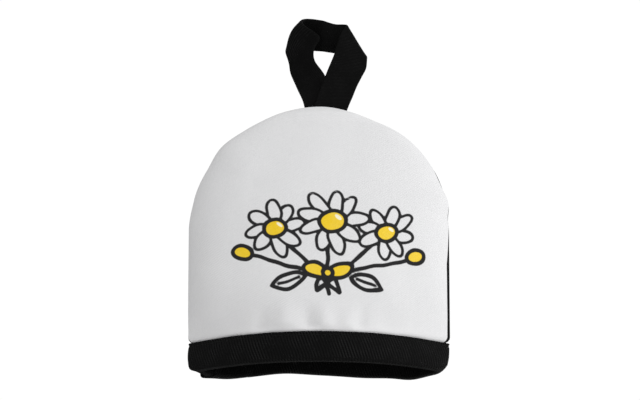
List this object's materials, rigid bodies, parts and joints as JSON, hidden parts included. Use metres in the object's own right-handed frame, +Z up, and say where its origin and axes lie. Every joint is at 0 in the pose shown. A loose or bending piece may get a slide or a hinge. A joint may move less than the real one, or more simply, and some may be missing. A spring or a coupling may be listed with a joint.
{
  "type": "egg cosy",
  "caption": "Padded cloth egg cosy: flat dome of two panels, a bound hem that stands on the table and a folded tape hanging loop.",
  "frame": {"origin": "on the table under the middle of the cosy, at the foot of the bound hem", "axes": "+Z up through the crown, the pale front panel faces -Y, +X to the right as the front is seen"},
  "size_m": [0.1074, 0.0382, 0.1542],
  "materials": {
    "white_cloth": "matte padded white cotton cloth with a fine weave",
    "black_cloth": "matte black cotton cloth",
    "black_tape": "black cotton twill tape with fine slanting ribs",
    "loop_tape": "black cotton twill tape, folded"
  },
  "bodies": {
    "root": {"front_panel": "white_cloth", "back_panel": "black_cloth", "hem_band": "black_tape", "hanging_loop": "loop_tape"}
  },
  "joints": []
}
